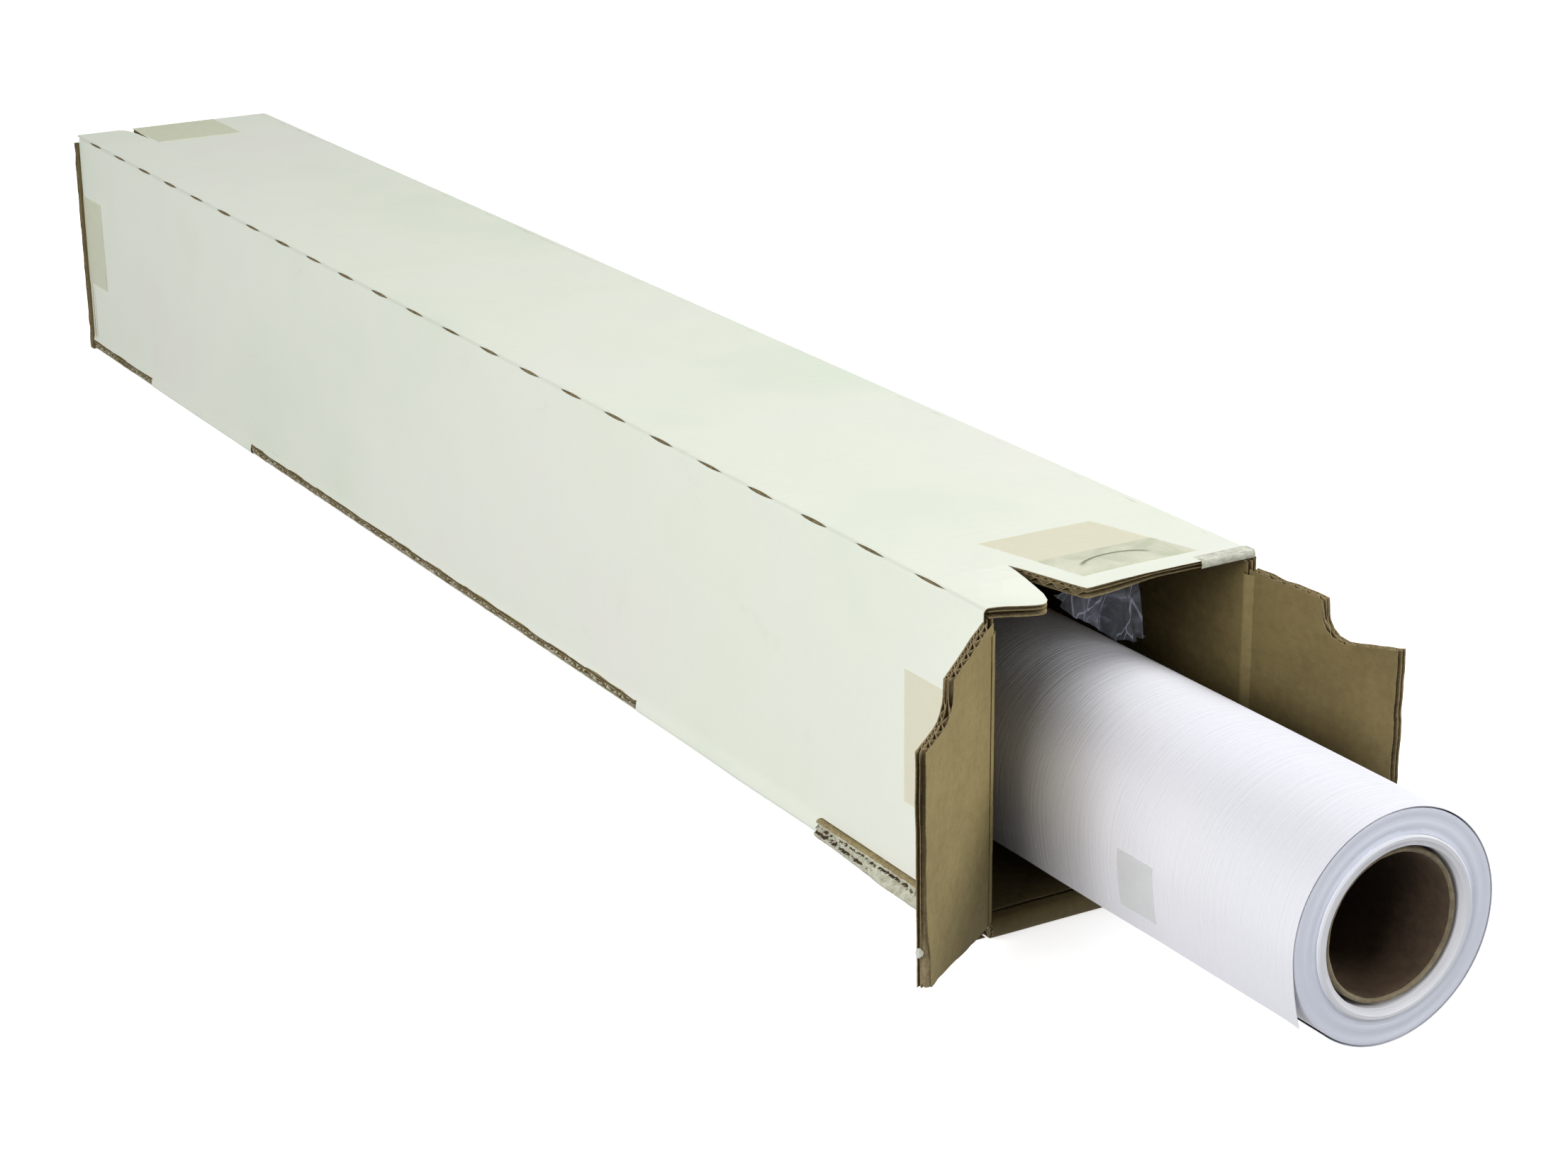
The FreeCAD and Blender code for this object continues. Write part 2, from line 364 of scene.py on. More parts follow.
def ragged(corners, step, rough, seed):
    # an outline with its edges divided and pushed in and out a little, corners kept
    made = []
    for i, (a, b) in enumerate(zip(corners, corners[1:] + corners[:1])):
        a, b = np.array(a, float), np.array(b, float)
        length = np.linalg.norm(b - a)
        count = max(1, int(length / step))
        side = np.array([a[1] - b[1], b[0] - a[0]]) / max(length, 1e-6)
        t = np.arange(count) / count
        push = smoothNoise(t * length + 31 * i, seed, 6.0) * rough * np.minimum(1, 4 * t * (1 - t) * length / 20)
        made += [tuple(a + (b - a) * s + side * p) for s, p in zip(t, push)]
    return made


def crossings(outline, u):
    # where the line at u enters and leaves the outline
    a = outline
    b = np.roll(outline, -1, axis=0)
    hit = (a[:, 0] > u) != (b[:, 0] > u)
    at = a[hit, 1] + (u - a[hit, 0]) / (b[hit, 0] - a[hit, 0]) * (b[hit, 1] - a[hit, 1])
    return np.sort(at).reshape(-1, 2) if len(at) % 2 == 0 else np.zeros((0, 2))


def liner(shape, outline, low, high, bend, cells, marks):
    # one sheet of paper of the board, between two depths, cut to the outline; marks are front, back and rim
    bm = bmesh.new()
    bm.faces.new([bm.verts.new((u, v, 0)) for u, v in outline])
    for axis, cuts in enumerate(cells):
        for cut in cuts:
            spot, side = [0, 0, 0], [0, 0, 0]
            spot[axis], side[axis] = cut, 1
            bmesh.ops.bisect_plane(bm, geom=bm.verts[:] + bm.edges[:] + bm.faces[:], dist=1e-4,
                                   plane_co=spot, plane_no=side)
    bm.verts.index_update()
    flat = np.array([v.co for v in bm.verts])
    n = len(flat)
    depth = np.ones((n, 1))
    points = np.vstack([bend(np.hstack([flat[:, :2], depth * low])),
                        bend(np.hstack([flat[:, :2], depth * high]))])
    faces, given = [], []
    for f in bm.faces:
        ring = [v.index for v in f.verts]
        faces += [ring, [i + n for i in reversed(ring)]]
        given += [marks[0], marks[1]]
        for loop in f.loops:
            if len(loop.edge.link_faces) == 1:
                a, b = loop.vert.index, loop.link_loop_next.vert.index
                faces.append([b, a, a + n, b + n])
                given.append(marks[2])
    bm.free()
    shape.add(points, faces, given)


def flutes(shape, outline, low, high, pitch, bend, depth, recess, phase=0.0, paper=0.2, rows=3):
    # a wave of paper between two liners, shown where the board's raw ends let it be seen
    outline = np.array(outline)
    middle, swing = (low + high) / 2, (high - low - paper) / 2
    start, end = outline[:, 0].min() + recess, outline[:, 0].max() - recess
    us = np.arange(start, end, pitch / 8)
    runs, active = [], []
    for u in us:
        found = crossings(outline, u)
        strips = []
        for a, b in found:
            a, b = a + 0.15, b - 0.15
            nearEnd = min(u - start, end - u) < 1.5 * pitch
            if b - a > 2.2 * depth and not nearEnd:
                strips += [(a, a + depth), (b - depth, b)]
            elif b - a > 0.5:
                strips.append((a, b))
        angle = 2 * pi * u / pitch + phase
        slope = swing * 2 * pi / pitch * cos(angle)
        tilt = hypot(1, slope)
        rings = []
        for a, b in strips:
            v = np.linspace(a, b, rows)
            w = middle + swing * sin(angle)
            aside, off = slope / tilt * paper / 2, paper / 2 / tilt
            front = np.column_stack([np.full(rows, u + aside), v, np.full(rows, w - off)])
            back = np.column_stack([np.full(rows, u - aside), v, np.full(rows, w + off)])
            rings.append(bend(np.vstack([front, back[::-1]])))
        if len(rings) != len(active):
            runs += active
            active = [[] for ring in rings]
        for run, ring in zip(active, rings):
            run.append(ring)
    for run in runs + active:
        if len(run) > 1:
            shape.sweep(run)


doubleWall = {
    "liners": ((0.0, 0.35), (1.5, 1.72), (3.7, 4.0)),     # white face, middle sheet, kraft face
    "fine": {"low": 0.35, "high": 1.5, "pitch": 3.4},
    "coarse": {"low": 1.72, "high": 3.7, "pitch": 6.6},
    "depth": 14.0,                                         # how far in from a raw end the waves are made
}


def grid(low, high, step):
    return list(np.arange(low + step / 2, high, step))


def boardPanel(name, body, slot, nodes, outline, bend, skin=None, inside=None, step=(16, 16),
               recess=1.6, kraftFace=None, rough=0.18, seed=1, extra=()):
    # a panel of double-wall board: its three liners, and its two waves as a second piece
    outline = ragged(outline, 3.0, rough, seed)
    skin = ragged(skin, 3.0, rough, seed) if skin else outline
    inside = ragged(inside, 2.0, rough, seed) if inside else outline
    flat = np.array(skin)
    cells = [grid(flat[:, i].min(), flat[:, i].max(), step[i]) for i in (0, 1)]
    cells[1] = sorted(cells[1] + list(extra))
    sheets = Shape()
    (a, b), (c, d), (e, f) = doubleWall["liners"]
    liner(sheets, skin, a, b, bend, cells, (0, 2, 2))
    liner(sheets, outline, c, d, bend, cells, (2, 2, 2))
    liner(sheets, inside, e, f, bend, cells, (2, 1, 2))
    panel = sheets.make(name, [white, kraftFace or kraftIn, rawBrown])
    place(panel, body, slot, *nodes)
    waves = Shape()
    for kind, phase in (("fine", 0.4), ("coarse", 1.9)):
        w = doubleWall[kind]
        flutes(waves, outline, w["low"], w["high"], w["pitch"], bend, doubleWall["depth"], recess, phase + seed)
    place(waves.make(name + "Flutes", [fluting]), body, slot)
    return panel


def flatBend(origin, u, v, w, warp=None):
    frameOf = np.array([u, v, w], float)

    def bend(points):
        points = np.array(points, float)
        if warp:
            points = warp(points)
        return np.array(origin, float) + points @ frameOf

    return bend


crease = {"radius": 2.2, "slits": 23, "pitch": 39.68, "length": 19.1, "first": 22.4, "half": 0.62}
lidLow, lidHigh = cadCorners("top_panel")
frontLow, frontHigh = cadCorners("front_panel")
left, right, top = lidLow[1], lidHigh[1], lidHigh[2]
near, far = lidHigh[0], lidLow[0]
arc = crease["radius"] * pi / 4


def slitGap(x):
    # half the width of the slit-scored crease's opening at x
    since = (x - far - crease["first"]) % crease["pitch"]
    t = 2 * since / crease["length"] - 1
    inside = far + crease["first"] <= x <= near - crease["first"]
    wide = crease["half"] * (1 + 0.35 * noise.noise((x / 25, 3.3, 0)))
    return wide * (1 - t * t) ** 0.8 if inside and abs(t) < 1 else 0.0


creaseSteps = np.arange(far, near + 0.1, 1.6)
creaseSteps[-1] = near


def lidWarp(p):
    u, v, w = p.T.copy()
    # the freed left corner droops, and the lid is a little uneven along its end
    tab = ease((-25.5 - v) / 2.0)
    w = w + 3.2 * tab * ease((u - 437) / 33) * ease((v - left) / 27)
    w = w + 0.8 * (1 - tab) * ease((u - 440) / 30) * ease((10 - v) / 30)
    w = w + 0.25 * dents(u, v, 90, 40, 1.7) * ease((v - left) / 12) * ease((right - v) / 12)
    w = w * (1 - 0.42 * ease((u - near + 9) / 8) * ease((v + 8) / 26))
    r = crease["radius"]
    start = left + r
    a = np.clip((start - v) / r, 0, pi / 4)
    y = np.where(v < start, start - (r - w) * np.sin(a), v)
    depth = np.where(v < start, r - (r - w) * np.cos(a), w)
    return np.column_stack([u, y, depth])


lidBend = flatBend((0, 0, top), (1, 0, 0), (0, 1, 0), (0, 0, -1), lidWarp)
wedge = [(437.0, -27.0), (456.0, -20.5), (468.0, -16.5), (near, -15.6)]
tabCorner = [(near, -34.5), (469.3, -32.6), (467.0, -30.6), (462.0, -28.8), (450.0, -27.8)]
farWedge = [(-437.0, -27.0), (-456.0, -26.0), (-468.0, -25.3), (far, -25.0)]
farCorner = [(-u, v) for u, v in tabCorner]
rightSide = right - 3.0


def lidOutline(leftEdge):
    # anticlockwise: along the left edge, the near end with its slit, the right edge, the far end
    return (leftEdge + tabCorner + wedge + [(near, rightSide), (far, rightSide)]
            + farWedge[::-1] + farCorner[::-1])


middle = left + crease["radius"] - arc
lidSkin = lidOutline([(x, middle + slitGap(x)) for x in creaseSteps])
lidInner = lidOutline([(x, left + 2.3) for x in (far, near)])
boardPanel("lidPanel", "lid", "carton_board", ["top_panel"], lidInner, lidBend, skin=lidSkin,
           step=(12, 9), seed=3, extra=(-58.7, -58.3, -57.9, -57.5, -26.0, -24.0))

tabs = [cadCorners(node) for node in ("far_lock_tab", "near_lock_tab")]
foot = frontLow[2]
tabPath = {
    # the lock tab's outer face from the panel down round the floor: travel, Y outward, Z
    "travel": [0, 2.0, 4.1, 6.0, 7.6, 9.2, 10.6, 12.0, 14.6],
    "out": [0, 0.15, 0.65, 1.15, 1.35, 1.0, 0.1, -1.3, -3.9],
    "height": [10, 8.0, 5.95, 4.1, 2.5, 1.0, 0.35, 0.12, 0.12],
}
tabFoot = 10 - tabPath["travel"][-1]


def frontWarp(p):
    u, v, w = p.T.copy()
    w = w + 0.3 * dents(u, v, 80, 45, 5.1) * ease((v - 8) / 14) * ease((120 - v) / 14) * ease((near - u) / 20)
    r = crease["radius"]
    start = top - r
    a = np.clip((v - start) / r, 0, pi / 4)
    z = np.where(v > start, start + (r - w) * np.sin(a), v)
    depth = np.where(v > start, r - (r - w) * np.cos(a), w)
    travel = np.clip(10 - v, 0, None)
    fine = np.linspace(0, tabPath["travel"][-1], 200)
    out = np.interp(fine, tabPath["travel"], tabPath["out"])
    high = np.interp(fine, tabPath["travel"], tabPath["height"])
    slopeY, slopeZ = np.gradient(out, fine), np.gradient(high, fine)
    size = np.hypot(slopeY, slopeZ)
    bulge = 1 + 0.6 * ripple(u, 55, 9.1)
    squeeze = 1 - 0.66 * ease((travel - 3) / 8)
    low = travel > 0
    nY, nZ = np.interp(travel, fine, slopeZ / size), np.interp(travel, fine, slopeY / size)
    depth = np.where(low, -np.interp(travel, fine, out) * bulge - w * squeeze * nY, depth)
    z = np.where(low, np.interp(travel, fine, high) - w * squeeze * nZ, z)
    return np.column_stack([u, z, depth])


frontBend = flatBend((0, left, 0), (1, 0, 0), (0, 0, 1), (0, 1, 0), frontWarp)
footSteps = {"rise": 0.55, "near": 2.1}


def footLine():
    # the raw lower edge from the far end to the near one, with the two tabs let down
    line = []
    stops = [(frontLow[0], tabs[0][0][0]), (tabs[0][1][0], tabs[1][0][0]), (tabs[1][1][0], near)]
    for i, (a, b) in enumerate(stops):
        if i:
            line += [(stops[i - 1][1], foot + 0.2), (stops[i - 1][1], tabFoot), (a, tabFoot), (a, foot + 0.2)]
        for x in np.arange(a + 1, b, 2.5):
            notch = 0.35 * copysign(1, sin(x / 9.7 + 2 * sin(x / 23)))
            lift = footSteps["near"] * ease((x - tabs[1][1][0]) / 2)
            line.append((x, foot + lift + footSteps["rise"] * noise.noise((x / 14, 2.2, 0)) + 0.5 * notch))
    return line


frontTop = top - crease["radius"] + arc
frontSkin = footLine() + [(near, foot + footSteps["near"]), (near, 121.0)] + [
    (x, frontTop - slitGap(x)) for x in creaseSteps[::-1] if x > frontLow[0]] + [(frontLow[0], foot)]
frontInner = footLine() + [(near, foot + footSteps["near"]), (near, frontHigh[2]),
                           (frontLow[0], frontHigh[2]), (frontLow[0], foot)]
boardPanel("frontPanel", "front", "carton_board", ["front_panel", "near_lock_tab", "far_lock_tab"],
           frontInner, frontBend, skin=frontSkin, step=(12, 9), seed=5, rough=0.1,
           extra=[-4 + 0.9 * i for i in range(16)] + [125.0, 125.4, 125.8, 126.2])

# the board's brown inner layer, seen through the slits
rings = []
for x in np.arange(far + 6, near - 2, 4.0):
    r, turns = crease["radius"], (0.1, 0.5, 0.8, 1.1, 1.5)
    rings.append([(x, left + r - (r - d) * cos(a), top - r + (r - d) * sin(a))
                  for d, angles in ((0.75, turns), (1.15, turns[::-1])) for a in angles])
sweptPiece("creaseInside", rings, rawBrown, "front", "carton_board", angle=35)

wallLow, wallHigh = cadCorners("right_wall")
wallBend = flatBend((0, right, 0), (1, 0, 0), (0, 0, 1), (0, -1, 0))
wallOutline = rectangle(wallLow[0], wallLow[2], near, wallHigh[2])
wallSkin = rectangle(wallLow[0], 0.4, near, top - 3.0)
boardPanel("rightWall", "carton", "carton_board", ["right_wall"], wallOutline, wallBend, skin=wallSkin,
           step=(14, 12), seed=8, rough=0.08)

floorLow, floorHigh = cadCorners("lower_floor")
nearTabEnd = tabs[1][1][0]


def floorWarp(p):
    u, v, w = p.T.copy()
    inward = v - floorLow[1]
    edge = 1 - ease(inward / 5.0)
    nearShare = ease((u - nearTabEnd) / 3) * (0.45 + 0.55 * ease((u - nearTabEnd) / 60))
    plain = np.interp(w, [0, 1.5, 4], [2.8, 1.2, 0.6])
    bulged = np.interp(w, [0, 0.8, 2.2, 4], [-0.6, -1.6, -1.4, 0.2]) * nearShare
    crush = 0.35 * dents(u, w, 7, 1, 4.4)
    y = v + edge * (np.where(u > nearTabEnd, bulged, plain) + crush)
    z = w + edge * np.where(u > nearTabEnd, 0.0, 0.3 * w)
    return np.column_stack([u, y, np.clip(z, 0.02, None)])


floorBend = flatBend((0, 0, 0), (1, 0, 0), (0, 1, 0), (0, 0, 1), floorWarp)
notch = left + 6.0
flapRoom = cadCorners("near_bottom_flap")[0][0] - 2.0
outer = floorLow[1]
floorOutline = [(floorLow[0], outer)]
for low, high in tabs:
    floorOutline += [(low[0] - 1, outer), (low[0] - 1, notch), (high[0] + 1, notch), (high[0] + 1, outer)]
floorOutline += [(near - 2, outer), (near - 2, -55.8), (flapRoom, -55.8), (flapRoom, floorHigh[1]),
                 (floorLow[0], floorHigh[1])]
boardPanel("lowerFloor", "carton", "carton_board", ["lower_floor"], floorOutline, floorBend,
           step=(14, 3.2), seed=11, rough=0.25)

upperLow, upperHigh = cadCorners("upper_floor")


def upperWarp(p):
    u, v, w = p.T.copy()
    edge = 1 - ease((v + 61.6) / 4)
    crush = 0.5 * dents(u, w, 6, 1, 8.8)
    lift = 1.1 * ease((u - upperHigh[0] + 12) / 12) * ease((v + 54) / 5) * (0.6 + 0.6 * ripple(v, 18, 1.2))
    return np.column_stack([u, v + edge * crush, w + lift])


upperBend = flatBend((0, 0, upperLow[2]), (1, 0, 0), (0, 1, 0), (0, 0, 1), upperWarp)
upperOutline = [(upperLow[0], upperLow[1]), (nearTabEnd + 1, upperLow[1]), (nearTabEnd + 1, -60.6),
                (upperHigh[0] - 3, -60.6), (upperHigh[0] - 3, upperLow[1] - 0.5), (upperHigh[0], upperLow[1]),
                (upperHigh[0], upperHigh[1]), (upperLow[0], upperHigh[1])]
boardPanel("upperFloor", "carton", "carton_board", ["upper_floor"], upperOutline, upperBend,
           step=(16, 8), seed=13, rough=0.3)

rimStyle = {
    # section: Y, Z and share of the bulge; the kraft shows above its height, and rows of broken flutes below it
    "crushedRim": {
        "from": nearTabEnd + 0.6, "to": near - 1.5, "kraft": 6.9, "fades": 0.035, "bulge": 2.5, "pit": 0.9,
        "rows": ((5.6, 0.9, 1.5, 0.38), (3.4, 0.7, 2.1, 0.45)),
        "section": [(-57.5, 7.7, 0), (-60.6, 8.0, 0), (-61.7, 7.8, 0), (-62.1, 7.2, 0), (-62.15, 6.5, 0),
                    (-62.3, 5.8, 0.1), (-62.5, 5.0, 0.3), (-62.75, 4.2, 0.5), (-63.0, 3.4, 0.7), (-63.2, 2.6, 0.9),
                    (-63.2, 1.8, 1.0), (-63.0, 1.1, 1.0), (-62.4, 0.5, 1.0), (-61.2, 0.2, 0.8), (-58.5, 0.25, 0.3)]},
    "middleRim": {"from": tabs[0][1][0] + 0.5, "to": tabs[1][0][0] - 0.5},
    "farRim": {"from": floorLow[0] + 1.0, "to": tabs[0][0][0] - 0.5},
}
plainSection = [(2, 5.6), (0.5, 5.75), (-0.25, 5.6), (-0.4, 5.0), (-0.4, 4.2), (-0.4, 3.4), (-0.4, 2.6),
                (-0.4, 1.8), (-0.3, 1.0), (0.1, 0.5), (1.2, 0.2), (3, 0.25)]
for name in ("middleRim", "farRim"):
    rimStyle[name].update({
        "kraft": 4.25, "rows": ((3.4, 0.8, 1.6, 0.50), (1.9, 1.2, 1.3, 0.05)), "fades": 0.0, "bulge": 0.0, "pit": 0.6,
        "section": [(left + y, z, 0) for y, z in plainSection]})


def openFlute(style, x, z):
    # whether a broken flute lies open here, to be pitted and painted dark as its shade
    best = -1.0
    for i, (height, narrow, size, most) in enumerate(style["rows"]):
        fade = style["fades"] * i * max(0, x - style["from"] - 26)
        grain = noise.noise((x / size, z / (0.6 * size), 6.1 - i))
        best = max(best, grain - narrow * abs(z - height) + most - fade)
    return best > 0.14


for name, style in rimStyle.items():
    path = np.array(style["section"])
    fine = np.linspace(0, len(path) - 1, 4 * len(path))
    path = np.column_stack([np.interp(fine, range(len(path)), column) for column in path.T])
    outer, rim, rings, marks = path[:, 0].min() + 0.9, Shape(), [], []
    for x in np.arange(style["from"], style["to"], 0.5 if style["bulge"] else 0.8):
        swell = style["bulge"] * ease((x - style["from"] - 4) / 60) * (1 + 0.12 * noise.noise((x / 11, 3.1, 0)))
        ring, given = [], []
        for y, z, share in path:
            hole = y < outer + 0.4 and 1.2 < z < style["kraft"] and openFlute(style, x, z)
            crush = 0.30 * noise.noise((x / 3.2, z / 2.4, 1.3)) + 0.16 * noise.noise((x / 1.1, z / 0.9, 5.0))
            soft = min(1, max(0, z - 0.2))
            ring.append((x, y - swell * share + (crush + style["pit"] * hole) * soft,
                         max(z + 0.3 * crush * soft, 0.05)))
            # open broken flutes take the near-black painted shade
            given.append(0 if z > style["kraft"] else 2 if hole else 1)
        rings.append(ring)
        marks += given
    rim.sweep(rings, 1)
    rim.marks = marks[:len(path) * (len(rings) - 1)] + [1, 1]
    place(rim.make(name, [kraftEdge, rawGrey, fluteHoleShade], smooth=True, angle=80), "carton", "carton_board")
print("long panels made")


farOutline = [(1, 9.0), (18, 10.0), (74, 20.0), (74, 112.0), (51, 107.0), (40.1, 114.0), (39.5, 120.0), (1, 120.0)]
flapShape = {
    "near_left_flap": {
        "body": "near_left", "origin": (near, left), "turn": -52.0, "mirror": 1,
        "outline": [(1, 8.0), (18, 9.0), (69, 14.7), (72, 102.0), (54, 103.0), (49.4, 104.0), (46.2, 106.3),
                    (44.2, 109.0), (43.6, 111.0), (43, 117.0), (1, 122.5)]},
    "near_right_flap": {
        "body": "near_right", "origin": (near, right), "turn": 2.5, "mirror": -1,
        "outline": [(1, 8.4), (18, 10.0), (78, 17.0), (78.5, 113.0), (51, 107.0), (46.0, 107.6), (42.6, 109.6),
                    (40.6, 112.2), (40.1, 114.0), (39.5, 120.0), (1, 120.0)]},
    "far_left_flap": {
        "body": "front", "origin": (-465.7, -56.5), "turn": 90.0, "mirror": -1, "outline": farOutline},
    "far_right_flap": {
        "body": "far_right", "origin": (-461.4, 55.5), "turn": -90.0, "mirror": 1, "outline": farOutline},
}


def flapBend(spec, warp=None):
    a = radians(spec["turn"])
    along = (cos(a), sin(a), 0)
    inward = (-sin(a) * spec["mirror"], cos(a) * spec["mirror"], 0)
    return flatBend((*spec["origin"], 0), along, (0, 0, 1), inward, warp)


def leftFlapWarp(p):
    # the free edge waves a little and opens at its lower end
    u, v, w = p.T.copy()
    w = w + 0.5 * ease((u - 40) / 30) * dents(u, v, 30, 30, 6.0)
    w = w + ease((u - 55) / 14) * ease((38 - v) / 22) * np.where(w > 2.6, 0.45, -0.2)
    return np.column_stack([u, v, w])


for node, spec in flapShape.items():
    name = "".join(word.capitalize() if i else word for i, word in enumerate(node.split("_")))
    inside, warp = None, None
    if node == "near_left_flap":
        warp = leftFlapWarp
        o = spec["outline"]
        inside = o[:2] + [(66.6, 14.4), (67.2, 18.0), (66.7, 23.0), (67.5, 29.0), (68.6, 33.0),
                          (69.3, 37.0), (70.0, 44.0)] + o[3:]
    # the near left flap's inside takes the lighter kraft with painted light
    boardPanel(name, spec["body"], "flap_board", [node], spec["outline"], flapBend(spec, warp), inside=inside,
               step=(8, 8), recess=2.6, kraftFace=litKraftPainted if node == "near_left_flap" else kraftIn,
               rough=0.45 if "near" in node else 0.15, seed=17 + len(node))

endLow, endHigh = cadCorners("far_end_flap")
endBend = flatBend((endLow[0], 0, 0), (0, 0, 1), (0, 1, 0), (1, 0, 0))
endOutline = rectangle(endLow[2], endLow[1], endHigh[2], endHigh[1])
boardPanel("farEndFlap", "far_end", "carton_board", ["far_end_flap"], endOutline, endBend,
           step=(12, 12), seed=29, rough=0.35)

noseLow, noseHigh = cadCorners("near_bottom_flap")
nose = {"axis": (469.0, 4.0), "radius": 3.7, "thick": 0.86}
turnLength = pi * nose["radius"]


def noseBend(points):
    # travel runs from the floor's top round the nose and back under the carton; depth is from the kraft face
    s, y, w = np.array(points, float).T
    x0, z0 = nose["axis"]
    r = nose["radius"]
    w = w * nose["thick"]
    a = np.clip(s / r, 0, pi)
    inner = np.maximum(r - w, 0.25)
    sag = 0.35 * ripple(y, 15, 7.7)
    x = (x0 + inner * np.sin(a) + np.where(s < 0, s, 0) - np.where(s > turnLength, s - turnLength, 0)
         + sag * np.sin(a))
    z = z0 + inner * np.cos(a)
    return np.column_stack([x, y, z])


noseEnd = turnLength + noseHigh[0] - noseLow[0] - nose["radius"]
noseOutline = rectangle(-3.5, noseLow[1], noseEnd, noseHigh[1])
noseSheets = Shape()
cells = [list(np.arange(-3, turnLength + 1, 0.8)) + grid(turnLength + 2, 110, 12),
         grid(noseLow[1], noseHigh[1], 9)]
noseRagged = ragged(noseOutline, 3.0, 0.3, 31)
for low, high, marks in ((0.0, 0.3, (0, 1, 1)), (2.28, 2.5, (1, 1, 1)), (3.65, 4.0, (1, 2, 1))):
    liner(noseSheets, noseRagged, low, high, noseBend, cells, marks)
noseFlap = noseSheets.make("nearBottomFlap", [kraftIn, rawBrown, white], smooth=True)
place(noseFlap, "near_bottom", "flap_board", "near_bottom_flap")
noseWaves = Shape()
for low, high, pitch in ((0.3, 2.28, 6.6), (2.5, 3.65, 3.4)):
    flutes(noseWaves, noseRagged, low, high, pitch, noseBend, 14.0, 1.6)
place(noseWaves.make("nearBottomFlapFlutes", [fluting]), "near_bottom", "flap_board")

glue = {"at": (70.7, 28.5, 1.3), "size": (1.1, 1.9, 1.2)}
rings = []
for a in np.linspace(0.15, pi - 0.15, 12):
    ring = []
    for b in np.linspace(0, 2 * pi, 18, endpoint=False):
        swell = 1 + 0.25 * noise.noise((2 * cos(b), 2 * sin(b), a))
        ring.append([glue["at"][0] + glue["size"][0] * sin(a) * cos(b) * swell,
                     glue["at"][1] - glue["size"][1] * cos(a),
                     glue["at"][2] + glue["size"][2] * sin(a) * sin(b) * swell])
    rings.append(flapBend(flapShape["near_left_flap"], leftFlapWarp)(ring))
sweptPiece("glueSpot", rings, peeled, "near_left", "flap_board", angle=80)
print("flaps made")


def foldStrip(name, paths, marks, span, materials, thick, along="z"):
    # liners carried round a fold: each path is a line of points in the plane across the fold
    shape = Shape()
    for path, mark in zip(paths, marks):
        path = np.array(path, float)
        tangent = np.gradient(path, axis=0)
        side = np.column_stack([-tangent[:, 1], tangent[:, 0]])
        side /= np.linalg.norm(side, axis=1)[:, None]
        inner = path + side * thick
        rings = []
        for t in np.arange(span[0], span[1] + 0.1, 5.0):
            shake = 0.12 * noise.noise((t / 9, mark, 3.0))
            ring = np.vstack([path + side * shake, inner[::-1] + (side * shake)[::-1]])
            if along == "z":
                rings.append(np.column_stack([ring, np.full(len(ring), t)]))
            else:
                rings.append(np.column_stack([np.full(len(ring), t), ring]))
        shape.sweep(rings, [mark] * len(path) + [1] * len(path))
    strip = shape.make(name, materials, smooth=True, angle=50)
    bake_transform(strip)
    return strip


def arcPath(centre, radius, first, last, count=9):
    a = np.radians(np.linspace(first, last, count))
    return [(centre[0] + radius * cos(t), centre[1] + radius * sin(t)) for t in a]


lidRound = [(right - 5.0, top)] + arcPath((right - 3.0, top - 3.0), 3.0, 90, 0) + [(right, top - 5.0)]
foldStrip("lidCrease", [lidRound], [0], (far + 0.5, near - 0.5),
          [white, kraftIn], along="x", thick=-0.45)

turn = radians(-52.0)
turnRight = radians(2.5)


def leftAt(u, w):
    # a point of the standing left flap: out from its crease, and in from its white face
    return (near + u * cos(turn) - w * sin(turn), left + u * sin(turn) + w * cos(turn))


def rightAt(u, w):
    return (near + u * cos(turnRight) + w * sin(turnRight),
            right + u * sin(turnRight) - w * cos(turnRight))


leftInside = [(near - 3.0, left + 3.98), (near - 0.5, left + 4.0), (near + 1.4, left + 3.7),
              (near + 2.6, left + 2.9), leftAt(0.8, 4.03), leftAt(3.0, 4.05)]
leftOutside = [(near - 3.0, left - 0.02), (near - 0.6, left + 0.05), (near + 0.2, left + 0.0),
               leftAt(0.8, 0.0), leftAt(3.0, -0.03)]
# the crease's inside takes the lighter kraft with painted light
foldStrip("leftFlapCrease", [leftOutside, leftInside], [0, 1], (8.5, 121.5),
          [white, litKraftPainted], thick=0.3)

rightInside = [(near - 2.8, right - 3.96), (near - 1.6, right - 4.5), (near - 0.5, right - 5.3),
               (near + 0.6, right - 5.5), rightAt(1.6, 5.2), rightAt(2.7, 4.4), rightAt(3.8, 3.97)]
rightOutside = [(near - 3.0, right - 0.02), (near - 0.5, right + 0.0), rightAt(1.2, 0.0), rightAt(3.0, -0.02)]
# the crease's inside ridge takes the kraft with a painted highlight
foldStrip("rightFlapCrease", [rightOutside, rightInside], [0, 1], (8.5, 119.5),
          [white, creaseHighlightKraft], thick=0.3)
print("folds made")


